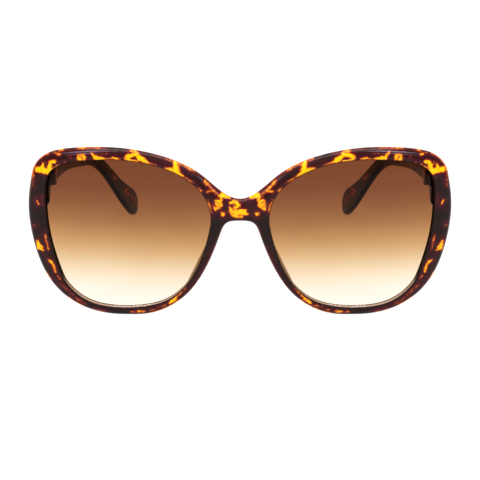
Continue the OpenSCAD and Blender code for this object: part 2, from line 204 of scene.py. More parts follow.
# Paler or redder strokes: how far each list sits down the ramp from yellow.
AMBER, ORANGE, RED = 0.1, 0.24, 0.42
TINTED = {
    AMBER: [
        (60.4, 56.5, 0.2, 59.4, 56.7, 0.2), (61, 55.4, 0.25, 60.2, 55.3, 0.15),
        (53.4, 55.1, 0.35, 53.2, 54.3, 0.4), (53.3, 54, 0.35, 51.7, 54, 0.3),
        (53, 55.3, 0.25, 51.8, 55.3, 0.25), (53.6, 57.6, 0.15, 51.8, 57.7, 0.2),
        (41, 54.6, 0.2, 39.6, 54.4, 0.1), (36.3, 57.3, 0.1, 34.3, 57.1, 0.2),
        (11.5, 48, 0.12, 10.5, 46.9, 0.25), (9.8, 46, 0.15, 8.6, 44.7, 0.18),
        (10.6, 44.6, 0.15, 9.8, 44.7, 0.12), (13.2, 45.2, 0.06, 12.7, 44.7, 0.15),
        (10.3, 41, 0.06, 9.9, 39.8, 0.18), (9.9, 39.8, 0.18, 9.4, 38.2, 0.12),
        (69, 39.3, 0, 68.3, 38.1, 0.05), (17, 52.2, 0.15, 15.8, 51.5, 0.15),
        (35, 1.8, 0.15, 32.9, 1.9, 0.25),
    ],
    ORANGE: [
        (62.6, 55.7, 0.1, 61, 55.5, 0.2), (65.8, 55, 0.15, 64.8, 55.3, 0.15),
        (69.7, 50.8, 0.25, 69.9, 47.6, 0.25), (58.9, 52.5, 0.1, 58.4, 52.5, 0.15),
        (51.5, 57.6, 0.2, 48.3, 57.9, 0.2), (44.5, 54.4, 0.2, 42, 54.4, 0.12),
        (65.9, 54.8, 0.2, 64.6, 55.3, 0.3), (30, 53.6, 0.15, 27.4, 52.9, 0.08),
        (20.7, 53.7, 0.3, 19.8, 51.6, 0.2), (20.6, 53.9, 0.15, 17, 52.3, 0.2),
        (15.8, 51.5, 0.15, 14.8, 51, 0.08), (17.5, 48.8, 0.12, 15.9, 47.8, 0.15),
        (11.5, 47.7, 0.4, 10.6, 46.8, 0.4), (10.2, 46.5, 0.2, 8, 44.3, 0.15),
        (8, 44.3, 0.15, 7.2, 43.5, 0.15), (13.7, 45.8, 0.06, 12.6, 44.6, 0.18),
        (11, 44.5, 0.12, 9.4, 44.7, 0.12), (10.6, 41.8, 0.06, 10, 40.4, 0.18),
        (10, 40.4, 0.18, 9.1, 37.5, 0.06), (66.5, 27.5, 0.06, 66.2, 25, 0.25),
        (66.2, 25, 0.22, 65.6, 22.3, 0.08), (62.9, 12.9, 0.12, 62.3, 12, 0.12),
        (60.2, 4.9, 0.1, 56.5, 3.2, 0.2), (37.3, 1.6, 0.12, 36.2, 1.4, 0.15),
        (30.5, 2.6, 0.12, 29, 2.9, 0.15), (26.3, 4.4, 0.15, 25.2, 4.6, 0.15),
        (21.9, 7.8, 0.25, 20.2, 9.2, 0.18), (20.2, 9.2, 0.15, 18.3, 11.5, 0.08),
    ],
    RED: [
        (69.9, 47.5, 0.25, 70.1, 44.3, 0.25), (65.1, 52.4, 0.35, 64.9, 51.4, 0.3),
        (56.6, 54.7, 0.25, 56.1, 54.2, 0.15), (48, 57.8, 0.15, 46.3, 57.9, 0.1),
        (46, 56, 0.1, 43.5, 56.1, 0.08), (15.2, 47.4, 0.1, 15, 47.1, 0.1),
        (7.3, 43, 0.25, 7.5, 42.1, 0.25), (9, 46.6, 0.1, 7.8, 45.6, 0.1),
        (71.1, 30.6, 0.1, 70, 30.6, 0.1), (61.8, 10, 0.3, 58, 6.4, 0.35),
        (57, 5.3, 0.3, 53.5, 3.2, 0.3), (50.5, 1.6, 0.2, 46.5, 0.8, 0.2),
        (28, 3.9, 0.15, 25, 4.7, 0.2), (66.9, 41, 0.02, 66.9, 38, 0.02),
    ],
}
# Stretches of the outer edge that glow: first and last outline parameter, half width in
# mm, and how far they sit down the ramp.
GLOWING = [
    (2.15, 3.05, 0.22, ORANGE), (4.4, 5.0, 0.22, ORANGE), (6.1, 7, 0.22, ORANGE),
    (7, 7.5, 0.45, AMBER), (7.5, 8, 0.4, ORANGE),
    (10.85, 11.1, 0.55, AMBER), (11.25, 11.4, 0.5, ORANGE), (11.75, 12.25, 0.6, AMBER),
    (12.5, 12.9, 0.5, ORANGE), (14.7, 15.6, 0.5, AMBER), (15.7, 17, 0.3, RED),
]
GLOW_STEP = 0.1
# Behind the middle surface, per mm: how the glow fades and how far the flecks lean.
GLOW_FADE = 0.6
FLECK_LEAN = np.array([0.3, 0.45])
# Darker veins and holes inside the flecks.
HOLES = [
    (52.6, 54.8, 0.1, 52.2, 54.3, 0.16), (35.4, 54.7, 0.25, 34.5, 55.2, 0.55),
    (34.5, 54.9, 0.5, 34.1, 54.7, 0.35), (7.4, 40.8, 0.16, 7.35, 40.2, 0.2),
    (69.75, 24.4, 0.14, 69.7, 24.2, 0.1), (68.7, 23.2, 0.06, 68.4, 22.8, 0.14),
    (67.3, 50.4, 0.04, 66.8, 49.9, 0.08), (22.8, 6.8, 0.04, 22.3, 6.9, 0.16),
]
# The middle of the bridge is cut across the seam, so this group isn't mirrored.
CENTRE = [
    (-3.2, 40.8, 0.22, -2.1, 41.2, 0.32), (-2.1, 41.2, 0.32, -1.2, 40.8, 0.38),
    (-1.2, 40.8, 0.38, -0.3, 40.1, 0.32), (-0.4, 40, 0.3, -2, 39.1, 0.22),
    (-3.2, 39.6, 0.25, -3, 38.2, 0.34), (-3, 38.2, 0.34, -2.3, 36.9, 0.34),
    (-2.3, 36.9, 0.32, -0.7, 36.2, 0.2), (-2, 38.2, 0.35, -0.6, 38.4, 0.3),
    (-1.9, 37.5, 0.5, -1, 37.6, 0.45), (-0.2, 38.3, 0.35, 1.8, 38.4, 0.28),
    (-0.1, 37.6, 0.42, 1.4, 37.6, 0.5), (1.4, 37.5, 0.45, 2.6, 37.3, 0.12),
    (0, 36.3, 0.2, 0.7, 36.3, 0.18),
]
CENTRE_HOLES = [
    (-3.1, 40.2, 0.1, -1.7, 40.2, 0.26), (-1.7, 40.2, 0.22, -2.1, 39.7, 0.15),
    (-2.4, 38.75, 0.14, -1, 38.95, 0.12), (-0.9, 38.9, 0.1, 0.2, 38.95, 0.1),
    (-0.9, 36.9, 0.16, -0.1, 36.85, 0.16), (-0.4, 38, 0.02, -0.4, 37.2, 0.08),
]
# Distance given to points far from every stroke, and the ramp depth inside a hole.
FAR = 9.0
HOLE_DEPTH = 0.12


def stroke_distance(p, strokes):
    """Distance from each point to the nearest stroke, negative inside it."""
    best = np.full(len(p), FAR)
    for ax, az, a_half, bx, bz, b_half in strokes:
        a = np.array([ax, az])
        run = np.array([bx, bz]) - a
        h = np.clip((p - a) @ run / max(run @ run, 1e-9), 0, 1)
        reach = np.linalg.norm(p - a - h[:, None] * run, axis=1)
        best = np.minimum(best, reach - a_half - h * (b_half - a_half))
    return best


def edge_strokes(first, last, half):
    """Short strokes that follow the outer edge from one outline parameter to another."""
    run = outline_at(np.arange(first, last, GLOW_STEP))
    return [(*a, half, *b, half) for a, b in zip(run[:-1], run[1:])]


def front_flecks(points):
    """Flecks over the front. Behind its middle surface they lean, and the edge glow fades."""
    flat = points[:, [0, 2]]
    deep = np.maximum(points[:, 1] - mid_y(flat), 0)
    lean = deep[:, None] * FLECK_LEAN
    signed = flat - lean
    half = np.stack([np.abs(flat[:, 0]), flat[:, 1]], 1) - lean
    depth = np.minimum(stroke_distance(half, YELLOW), stroke_distance(signed, CENTRE))
    for tint, strokes in TINTED.items():
        depth = np.minimum(depth, np.maximum(stroke_distance(half, strokes), 0) + tint)
    for *stretch, tint in GLOWING:
        glow = np.maximum(stroke_distance(half, edge_strokes(*stretch)), 0)
        depth = np.minimum(depth, glow + tint + deep * GLOW_FADE)
    hole = np.minimum(stroke_distance(half, HOLES), stroke_distance(signed, CENTRE_HOLES))
    return np.maximum(depth, HOLE_DEPTH - 2 * np.maximum(hole, -HOLE_DEPTH))


def scattered(seed, count, low, high):
    """Random clusters of strokes between two corners of a flat area."""
    rng = np.random.default_rng(seed)
    strokes = []
    for _ in range(count):
        cx, cz = rng.uniform(low, high)
        lean = rng.normal(0, 0.6)
        for _ in range(rng.integers(2, 5)):
            ox, oz = rng.normal(0, (1.5, 0.8))
            length = rng.uniform(0.4, 3)
            turn = lean + rng.normal(0, 0.5)
            sx, sz = cx + ox, cz + oz
            strokes.append((sx, sz, rng.uniform(0.1, 0.7), sx + length * math.cos(turn),
                            sz + length * math.sin(turn), rng.uniform(0.0, 0.4)))
    return strokes


# Strokes along and up a temple's side, in mm: those near the tip chosen, the rest by chance.
ARM_CHOSEN = [
    (103.6, 0.7, 0.35, 105.6, 0.2, 0.6), (105.6, 0.3, 0.6, 108.3, 1.5, 0.2),
    (117.2, 0.1, 0.3, 122.8, 1, 0.8), (118.5, 1.2, 0.5, 123, 4.2, 0.3),
]
ARM_RED = [(126.5, 1, 1.2, 132, 1, 1.8), (98, 1.2, 0.3, 101, 1.4, 0.2)]
ARM_YELLOW = scattered(11, 17, (0, -6), (78, 6))
ARM_ORANGE = ARM_CHOSEN + scattered(12, 26, (0, -6), (86, 6))
# The inner side is plain from the hinge to here, and has its flecks back by the end.
ARM_PLAIN = (84, 98)
ARM_DULL = 0.8


def arm_flecks(run):
    """Flecks over a temple, from each point's place along, up and across it."""
    flat = run[:, :2]
    depth = stroke_distance(flat, ARM_YELLOW)
    for tint, strokes in ((ORANGE, ARM_ORANGE), (RED, ARM_RED)):
        depth = np.minimum(depth, np.maximum(stroke_distance(flat, strokes), 0) + tint)
    plain = (run[:, 2] < 0) * (1 - smooth(*ARM_PLAIN, run[:, 0]))
    return np.maximum(depth, ARM_DULL * plain)


# ---- meshes -------------------------------------------------------------------------

def grid_faces(rows, count, closed_rows=False, skip=None):
    """Quads between neighbouring rings of equal length."""
    faces = []
    for i in range(rows if closed_rows else rows - 1):
        j = (i + 1) % rows
        for k in range(count):
            if skip and skip(i, j, k):
                continue
            n = (k + 1) % count
            faces.append((i * count + k, i * count + n, j * count + n, j * count + k))
    return faces


def add_piece(name, points, faces, material, body, nodes, values=None, sharp=35):
    """A new piece that rides on a body and stands for CAD nodes."""
    mesh = bpy.data.meshes.new(name)
    mesh.from_pydata([tuple(p) for p in place(points)], [], faces)
    for key, numbers in (values or {}).items():
        layer = mesh.attributes.new(key, "FLOAT", "POINT")
        layer.data.foreach_set("value", np.asarray(numbers, np.float32))
    mesh.validate()
    mesh.shade_smooth()
    mesh.set_sharp_from_angle(angle=math.radians(sharp))
    mesh.materials.append(material)
    piece = bpy.data.objects.new(name, mesh)
    bpy.context.scene.collection.objects.link(piece)
    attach(piece, body)
    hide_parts(*nodes)
    return piece


def mirrored(points, faces, side):
    if side > 0:
        return points, faces
    return points * np.array([-1, 1, 1]), [tuple(reversed(f)) for f in faces]


# ---- front --------------------------------------------------------------------------

# The lug at the back: the heights where it rises and falls away, and its start across.
LUG_RISE = (33.9, 35.7)
LUG_FALL = (50.0, 52.2)
LUG_START = (HINGE_X + 1.4, HINGE_X + 2.4)
# Points across the face, round the outer edge and round an inner corner.
FACE_STEPS = 13
EDGE_STEPS = 16
CORNER_STEPS = 5
BRIDGE_STEPS = 14
# Points nearer than this to the middle plane, in mm, are on it.
SEAM = 1e-6
# The edge is rounded by no more than this share of the rim's width.
EDGE_SHARE = 0.4
# First cut, last cut and step of each run of cuts, closer where the rim bends.
CUT_RUNS = [
    (9.55, 10.3, 0.014), (10.3, 14.4, 0.034), (14.4, 17.4, 0.024), (17.4, 24.2, 0.034),
    (24.2, 24.94, 0.016),
]
# The inner wall: width of the line between its painted shade and its painted highlight, how
# far the painted shade spreads round the corner, and the upward slopes at which the painted
# highlight starts and is full.
WALL_LINE = 0.12
WALL_SHADE_SPREAD = 1.6
PAINTED_HIGHLIGHT_FROM = 0.3
PAINTED_HIGHLIGHT_FULL = 0.75


def back_t(p):
    """Depth of the back face, which reaches the temple's butt plane at the lug."""
    share = (smooth(*LUG_RISE, p[..., 1]) * (1 - smooth(*LUG_FALL, p[..., 1]))
             * smooth(*LUG_START, p[..., 0]))
    butt = HINGE_Y + (p[..., 1] - HINGE_Z) * math.tan(TILT) - BUTT_GAP
    return HALF_T + share * (butt - mid_y(p) - HALF_T)


def rim_ring(a, e, g, width, edge, share):
    """Points of one cut across the rim, from the groove's lip over the front to the back.

    a is on the opening, e points outwards from it, and g is where the rounded edge starts.
    edge holds the outline point, its normal and the rounding. At the bridge it is None, the
    cut ends on the middle plane, and share says how far up the bridge the cut is.
    """
    ring = []

    def put(p, depth, glow=0.0, wall_shade=0.0, painted_highlight=0.0):
        ring.append((p[0], mid_y(p) + depth, p[1], glow, wall_shade, painted_highlight))

    # The polished inner wall is darkened by painted shade, and where it faces up, seen through
    # the lens, a painted highlight lightens it.
    up = float(smooth(PAINTED_HIGHLIGHT_FROM, PAINTED_HIGHLIGHT_FULL, -e[1]))
    put(a, -LIP, wall_shade=1.0, painted_highlight=up)
    put(a, -LIP - WALL_LINE, wall_shade=1.0)
    for q in np.linspace(0, math.pi / 2, CORNER_STEPS):
        put(a + e * INNER_R * (1 - math.cos(q)), -HALF_T + INNER_R * (1 - math.sin(q)),
            wall_shade=min(1.0, WALL_SHADE_SPREAD * math.cos(q)))
    f = a + e * INNER_R
    rise = CROWN * min(1, width / CROWN_WIDTH)
    for s in np.linspace(0, 1, FACE_STEPS)[1:-1]:
        arch = (1 - share) * 4 * s * (1 - s) + share * math.sin(math.pi / 2 * s)
        put(f + (g - f) * s, -HALF_T - rise * arch)
    for k in np.linspace(-math.pi / 2, math.pi / 2, EDGE_STEPS):
        if edge is None:
            put(g, math.copysign(HALF_T, k) - (share * rise if k < 0 else 0))
        else:
            outer, normal, r = edge
            deep = HALF_T if k < 0 else back_t(g)
            put(outer - normal * r * (1 - math.cos(k)), deep * math.sin(k), math.cos(k))
    for s in np.linspace(1, 0, FACE_STEPS)[1:]:
        p = f + (g - f) * s
        put(p, back_t(p) if edge is not None else HALF_T)
    for q in np.linspace(math.pi / 2, 0, CORNER_STEPS)[1:]:
        put(a + e * INNER_R * (1 - math.cos(q)), back_t(a) - INNER_R * (1 - math.sin(q)),
            wall_shade=math.cos(q))
    put(a, LIP + WALL_LINE, wall_shade=1.0)
    put(a, LIP, wall_shade=1.0, painted_highlight=up)
    put(a + e * GROOVE, 0, wall_shade=1.0, painted_highlight=up)
    return ring


def front_mesh():
    first_cut, last_cut = CUTS[0, 0], CUTS[-1, 0]
    stations = np.concatenate([np.arange(*run) for run in CUT_RUNS] + [[last_cut]])
    a = opening_at(stations)
    outer = np.interp(stations, CUTS[:, 0], CUTS[:, 1])
    b = outline_at(outer)
    v = outline_at(outer, slope_weights)
    n = unit(np.stack([-v[:, 1], v[:, 0]], 1))
    width = np.linalg.norm(b - a, axis=1)
    e = unit(b - a)
    rings = []
    for i in range(len(stations)):
        r = min(EDGE_R, EDGE_SHARE * width[i])
        rings.append(rim_ring(a[i], e[i], b[i] - n[i] * r, width[i], (b[i], n[i], r), 0.0))
    top = outline_at(0.0)[1] - EDGE_R
    low = outline_at(float(len(OUTLINE) - 1))[1] + EDGE_R
    span = first_cut + len(OPENING) - last_cut
    for k in range(1, BRIDGE_STEPS + 1):
        part = k / (BRIDGE_STEPS + 1)
        inner = opening_at(last_cut + part * span)
        middle = np.array([0, low + (top - low) * part])
        reach = middle - inner
        rings.append(rim_ring(inner, unit(reach), middle, CROWN_WIDTH, None,
                              math.sin(math.pi * part)))
    count = len(rings[0])
    solid = len(stations)
    first = CORNER_STEPS + FACE_STEPS

    def no_edge(i, j, k):
        return (i >= solid or j >= solid) and first <= k < first + EDGE_STEPS - 1

    points = np.array([p for ring in rings for p in ring])
    faces = grid_faces(len(rings), count, True, no_edge)
    return points, faces


def build_front(material):
    data, faces = front_mesh()
    half = len(data)
    flipped = data * np.array([-1, 1, 1, 1, 1, 1])
    both = np.concatenate([data, flipped])
    faces = faces + [tuple(half + i for i in reversed(f)) for f in faces]
    # Points on the middle plane are shared by the two halves.
    seam = np.abs(both[:, 0]) < SEAM
    merged = {}
    index = np.arange(len(both))
    for i in np.nonzero(seam)[0]:
        index[i] = merged.setdefault(tuple(np.round(both[i, :3], 5)), i)
    used = np.unique(index)
    renumber = np.zeros(len(both), int)
    renumber[used] = np.arange(len(used))
    kept = both[used]
    welded = []
    for f in faces:
        ring = [int(renumber[index[i]]) for i in f]
        ring = [v for k, v in enumerate(ring) if v != ring[k - 1]]
        if len(set(ring)) > 2:
            welded.append(tuple(ring))
    points = kept[:, :3]
    # The last two values mark the painted shade on the opening's inner wall and its painted
    # highlight.
    values = {"fleck": front_flecks(points), "rim_glow": kept[:, 3], "painted_wall_shade": kept[:, 4],
              "painted_wall_highlight": kept[:, 5]}
    return add_piece("acetate_front", points, welded, material, "front", ["front_frame"],
                     values)


# ---- lenses -------------------------------------------------------------------------

LENS_STATIONS = 320
LENS_CENTRE = np.array([39.0, 29.0])
# The bevel: how far its ridge stands out, and the depth at which it leaves the opening.
LENS_EDGE = 0.62
LENS_BEVEL = 0.56
# Rings over a lens's face, as shares of the way from its centre to the opening.
LENS_SHARES = np.append(np.linspace(0.08, 0.96, 12), 0.985)


def lens_mesh():
    t = np.arange(LENS_STATIONS) * len(OPENING) / LENS_STATIONS
    rim = opening_at(t)
    v = opening_at(t, slope_weights)
    n = unit(np.stack([-v[:, 1], v[:, 0]], 1))

    def ring(flat, depth):
        return np.stack([flat[:, 0], mid_y(flat) + depth, flat[:, 1]], 1)

    levels = [ring(LENS_CENTRE + (rim - LENS_CENTRE) * s, -LENS_HALF) for s in LENS_SHARES]
    levels += [ring(rim, -LENS_BEVEL), ring(rim + n * LENS_EDGE, 0), ring(rim, LENS_BEVEL)]
    levels += [ring(LENS_CENTRE + (rim - LENS_CENTRE) * s, LENS_HALF) for s in LENS_SHARES[::-1]]
    points = np.concatenate(levels)
    faces = [tuple(reversed(f)) for f in grid_faces(len(levels), LENS_STATIONS)]
    last = len(points)
    caps = np.array([[LENS_CENTRE[0], mid_y(LENS_CENTRE) + s * LENS_HALF, LENS_CENTRE[1]]
                     for s in (-1, 1)])
    rear = (len(levels) - 1) * LENS_STATIONS
    for k in range(LENS_STATIONS):
        m = (k + 1) % LENS_STATIONS
        faces.append((k, m, last))
        faces.append((rear + m, rear + k, last + 1))
    return np.concatenate([points, caps]), faces


# ---- nose pads ----------------------------------------------------------------------

# Centre across and up, half width, and how far the pad stands proud of the rim's back.
PAD_BEADS = np.array([
    [9.65, 28, 1.3, 3], [10, 27, 1.3, 3.2], [11.5, 21.8, 1.7, 5.2], [13.8, 16.6, 1.8, 5.6],
    [17.3, 11.8, 1.4, 3.6], [18, 10.9, 1.3, 3.2],
])
PAD_BITE = 0.7
PAD_ROWS = 56
PAD_COUNT = 36
# How square the pad is along its length and across it, its taper and its lean to the nose.
PAD_SQUARE = 2.6
PAD_ROUND = 0.8
PAD_TAPER = 0.18
PAD_LEAN = 0.3
# What is left of the squared swell at the two ends, so that they can be closed.
PAD_END = 0.003


def pad_mesh():
    u = np.linspace(0, 1, PAD_ROWS)
    swell = np.sqrt(np.maximum(1 - np.abs(2 * u - 1) ** PAD_SQUARE, PAD_END))
    knots = np.linspace(0, 1, len(PAD_BEADS))
    fit = [np.polyfit(knots, column, 3) for column in PAD_BEADS.T]
    x, z, r, proud = [np.polyval(c, u) for c in fit]
    run = unit(np.stack([np.gradient(x), np.gradient(z)], 1))
    side = np.stack([run[:, 1], -run[:, 0]], 1)
    points = []
    for i in range(PAD_ROWS):
        flat = np.array([x[i], z[i]])
        base = mid_y(flat) + HALF_T - PAD_BITE
        for q in np.arange(PAD_COUNT) * 2 * math.pi / PAD_COUNT:
            c = math.copysign(abs(math.cos(q)) ** PAD_ROUND, math.cos(q))
            s = 0.5 + 0.5 * math.copysign(abs(math.sin(q)) ** PAD_ROUND, math.sin(q))
            lean = np.array([PAD_LEAN * s, 0])
            p = flat + side[i] * r[i] * swell[i] * c * (1 - PAD_TAPER * s) - lean
            points.append((p[0], base + s * (proud[i] + PAD_BITE) * swell[i], p[1]))
    faces = grid_faces(PAD_ROWS, PAD_COUNT)
    faces.append(tuple(reversed(range(PAD_COUNT))))
    faces.append(tuple((PAD_ROWS - 1) * PAD_COUNT + k for k in range(PAD_COUNT)))
    return np.array(points), faces


# ---- temples ------------------------------------------------------------------------

ARM_CORNER = 1.35
# The flare under the hinge: its drop at the butt and the length over which it fades.
FLARE_H = 6.6
FLARE_L = 3.6
# Where the temple thins: over the root, then between these distances.
ROOT_L = 14.0
THIN_FROM = 45.0
THIN_TO = 112.0
# Share of its thickness that the tip keeps at its very end.
TIP_KEEP = 0.55
# Distance between rings near the hinge, up to ROOT_RINGS, and after it.
ROOT_RINGS = 9.0
ROOT_STEP = 0.3
STEM_STEP = 0.55
# The tip's rings follow a quarter turn, and a little is left at its end to be closed.
TIP_TURNS = np.radians(np.append(np.arange(0, 90, 4), 89.4))
TIP_END = 0.006
# The section's corners are no rounder than this share of its half height or width.
CORNER_SHARE = 0.8
ARM_CORNER_STEPS = 7
ARM_FLAT_STEPS = 14
ARM_WIDTH_STEPS = 4


def arm_outline(hx, up, down, r):
    """Rounded section as (across, up) points, with the flats cut fine enough for the flecks."""
    corners = [(1, 1, 0), (-1, 1, 90), (-1, -1, 180), (1, -1, 270)]
    flats = [ARM_WIDTH_STEPS, ARM_FLAT_STEPS, ARM_WIDTH_STEPS, ARM_FLAT_STEPS]
    ends = []
    for sx, sz, start in corners:
        h = up if sz > 0 else down
        q = np.radians(np.linspace(start, start + 90, ARM_CORNER_STEPS))
        ends.append(np.stack([sx * (hx - r) + r * np.cos(q), sz * (h - r) + r * np.sin(q)], 1))
    out = []
    for i, corner in enumerate(ends):
        out.append(corner)
        after = ends[(i + 1) % 4][0]
        for s in np.linspace(0, 1, flats[i] + 1)[1:-1]:
            out.append([corner[-1] + (after - corner[-1]) * s])
    return np.concatenate(out)


def temple_mesh():
    tip_from = ARM_L - TIP_R
    stops = np.concatenate([np.arange(0, ROOT_RINGS, ROOT_STEP),
                            np.arange(ROOT_RINGS, tip_from, STEM_STEP),
                            tip_from + TIP_R * np.sin(TIP_TURNS)])
    rows = []
    runs = []
    for d in stops:
        tip = max(0, (d - ARM_L + TIP_R) / TIP_R)
        e = math.sqrt(max(TIP_END, 1 - tip * tip))
        width = (BUTT_T + (STEM_T - BUTT_T) * smooth(0, ROOT_L, d)
                 + (TIP_T - STEM_T) * smooth(THIN_FROM, THIN_TO, d))
        hx = width / 2 * (TIP_KEEP + (1 - TIP_KEEP) * e)
        h = float(along_arm(ARM_HALF, d)) * e
        flare = FLARE_H * math.exp(-(d / FLARE_L) ** 2)
        flat = arm_outline(hx, h, h + flare, min(ARM_CORNER, min(hx, h) * CORNER_SHARE))
        # The slope is per knot until it's divided by the knots' distance.
        slope = float(along_arm(ARM_Z, d, slope_weights)) * (len(ARM_Z) - 1) / ARM_L
        turn = math.atan(-slope)
        centre = (ARM_X + float(along_arm(ARM_X_OFF, d)), HINGE_Y + BUTT_GAP + d,
                  float(along_arm(ARM_Z, d)))
        runs.append(np.stack([np.full(len(flat), d), flat[:, 1], flat[:, 0]], 1))
        rows.append(np.stack([centre[0] + flat[:, 0], centre[1] + flat[:, 1] * math.sin(turn),
                              centre[2] + flat[:, 1] * math.cos(turn)], 1))
    count = len(rows[0])
    points = np.concatenate(rows)
    faces = grid_faces(len(rows), count)
    faces.append(tuple(reversed(range(count))))
    faces.append(tuple((len(rows) - 1) * count + k for k in range(count)))
    return points, faces, np.concatenate(runs)


# ---- materials ----------------------------------------------------------------------

class Nodes:
    """Short hand for building a material's node tree."""

    def __init__(self, name):
        self.material = bpy.data.materials.new(name)
        self.material.use_nodes = True
        self.tree = self.material.node_tree
        self.tree.nodes.clear()
        self.output = self.tree.nodes.new("ShaderNodeOutputMaterial")

    def node(self, kind, settings=None, **sockets):
        """A node whose inputs are given by name, with _ for a space, or by number as i0, i1."""
        made = self.tree.nodes.new("ShaderNode" + kind)
        for key, value in (settings or {}).items():
            setattr(made, key, value)
        for key, value in sockets.items():
            numbered = key[0] == "i" and key[1:].isdigit()
            self.set(made.inputs[int(key[1:]) if numbered else key.replace("_", " ")], value)
        return made

    def set(self, socket, value):
        if isinstance(value, bpy.types.NodeSocket):
            self.tree.links.new(value, socket)
        else:
            socket.default_value = value

    def maths(self, operation, a, b=0.0, clamp=False):
        return self.node("Math", {"operation": operation, "use_clamp": clamp}, i0=a, i1=b).outputs[0]

    def noise(self, vector, scale, detail=2.0, roughness=0.5):
        return self.node("TexNoise", Vector=vector, Scale=scale, Detail=detail,
                         Roughness=roughness).outputs["Fac"]

    def span(self, value, low, high, out_low=0.0, out_high=1.0):
        return self.node("MapRange", i0=value, i1=low, i2=high, i3=out_low,
                         i4=out_high).outputs[0]

    def ramp(self, value, stops):
        made = self.node("ValToRGB", i0=value)
        points = made.color_ramp.elements
        while len(points) < len(stops):
            points.new(0.5)
        for point, (at, colour) in zip(points, stops):
            point.position = at
            point.color = (*colour, 1)
        return made.outputs[0]

    def mix(self, factor, a, b):
        made = self.node("Mix", {"data_type": "RGBA"})
        for socket, value in zip((0, 6, 7), (factor, a, b)):
            if isinstance(value, tuple):
                value = (*value, 1)
            self.set(made.inputs[socket], value)
        return made.outputs[2]

    def coordinates(self, stretch=(1, 1, 1)):
        """Where a point is on the piece, in metres, stretched."""
        coords = self.node("TexCoord").outputs["Object"]
        return self.node("Mapping", Vector=coords, Scale=stretch).outputs[0]

    def bump(self, height, distance, strength=1.0):
        return self.node("Bump", Strength=strength, Distance=distance, Height=height).outputs[0]

    def finish(self, shader):
        self.tree.links.new(shader.outputs[0], self.output.inputs[0])
        return self.material


# Colours of the acetate, in linear light.
YELLOW_RGB = (1.0, 0.5, 0.0)
AMBER_RGB = (1.0, 0.33, 0.004)
ORANGE_RGB = (0.62, 0.13, 0.006)
RUST_RGB = (0.16, 0.02, 0.006)
MAROON_RGB = (0.05, 0.003, 0.006)
BLACK_RGB = (0.010, 0.0035, 0.002)
RIM_RGB = (0.16, 0.022, 0.008)
# Colour of the painted highlight on the inner wall where it faces up.
PAINTED_HIGHLIGHT_RGB = (0.46, 0.38, 0.31)
# The colour ramp's ends, as depths below a fleck's edge in mm.
RAMP_LOW = -1.2
RAMP_HIGH = 2.8
# Low indices keep the gloss off the dark shell. The temples are seen through the lenses.
FRONT_IOR = 1.24
TEMPLE_IOR = 1.15


def tortoiseshell(name, ior):
    """Polished acetate, coloured by a ramp over the depth below the nearest fleck's edge."""
    m = Nodes(name)
    at = m.coordinates()
    fleck = m.node("Attribute", {"attribute_name": "fleck"}).outputs["Fac"]
    glow = m.node("Attribute", {"attribute_name": "rim_glow"}).outputs["Fac"]
    # Where painted shade darkens the opening's inner wall.
    wall_shade = m.node("Attribute", {"attribute_name": "painted_wall_shade"}).outputs["Fac"]
    # Where a painted highlight lightens that wall as it faces up.
    painted_highlight = m.node("Attribute", {"attribute_name": "painted_wall_highlight"}).outputs["Fac"]
    # Two noises make the flecks' edges ragged, and ridges draw darker veins through them.
    big = m.span(m.noise(at, 700, 1), 0.25, 0.75, -0.14, 0.14)
    fine = m.span(m.noise(at, 1900, 5, 0.75), 0.25, 0.75, -0.28, 0.28)
    ridge = m.maths("ABSOLUTE", m.maths("SUBTRACT", m.noise(at, 430, 3, 0.6), 0.5))
    veins = m.span(ridge, 0.0, 0.03, 0.3, 0.0)
    depth = m.maths("ADD", m.maths("ADD", fleck, big), m.maths("ADD", fine, veins))

    def stop(mm):
        return (mm - RAMP_LOW) / (RAMP_HIGH - RAMP_LOW)

    ramp = m.ramp(m.span(depth, RAMP_LOW, RAMP_HIGH), [
        (stop(-0.14), YELLOW_RGB), (stop(0.05), AMBER_RGB), (stop(0.21), ORANGE_RGB),
        (stop(0.38), RUST_RGB), (stop(0.62), MAROON_RGB), (stop(2.7), BLACK_RGB),
    ])
    # Away from the flecks, clouds darken the maroon to black.
    cloud = m.span(m.noise(at, 190, 3, 0.6), 0.42, 0.68)
    veil = m.span(depth, 0.7, 1.2)
    base = m.mix(m.maths("MULTIPLY", cloud, veil), ramp, BLACK_RGB)
    # The rounded edge is a little redder in places, where light comes through it.
    edge = m.maths("MULTIPLY", m.maths("POWER", glow, 3.0), m.span(m.noise(at, 260, 2), 0.4, 0.62))
    edge = m.maths("MULTIPLY", edge, m.span(depth, 0.2, 0.8))
    colour = m.mix(edge, base, RIM_RGB)
    # Painted shade turns the inner wall black, and a painted highlight lightens it where it faces
    # up.
    colour = m.mix(painted_highlight, m.mix(wall_shade, colour, BLACK_RGB), PAINTED_HIGHLIGHT_RGB)
    wear = m.noise(at, 900, 4, 0.6)
    shader = m.node("BsdfPrincipled", Base_Color=colour,
                    Roughness=m.maths("MAXIMUM", m.span(wear, 0.3, 0.7, 0.09, 0.17),
                                      m.maths("MULTIPLY", wall_shade, 0.75)),
                    Normal=m.bump(m.noise(at, 150, 2), 0.00004, 0.6))
    shader.inputs["IOR"].default_value = ior
    return m.finish(shader)


# Lens colour over white, against height in mm: brown at the brow to pale cream, after
# colours measured in the photograph.
LENS_STOPS = [
    (0, (0.97, 0.90, 0.80)), (5, (0.96, 0.87, 0.76)), (9, (0.94, 0.82, 0.68)),
    (13.5, (0.87, 0.71, 0.52)), (18, (0.75, 0.56, 0.345)), (22, (0.635, 0.41, 0.20)),
    (27, (0.49, 0.267, 0.107)), (33, (0.342, 0.150, 0.055)), (39, (0.242, 0.090, 0.034)),
    (45, (0.184, 0.058, 0.023)), (56, (0.168, 0.052, 0.020)),
]
LENS_TOP = 58.0
# Share of light that a lens's gloss takes, seen square on and at a grazing angle.
LENS_SQUARE_ON = 0.007
LENS_GRAZING = 0.7


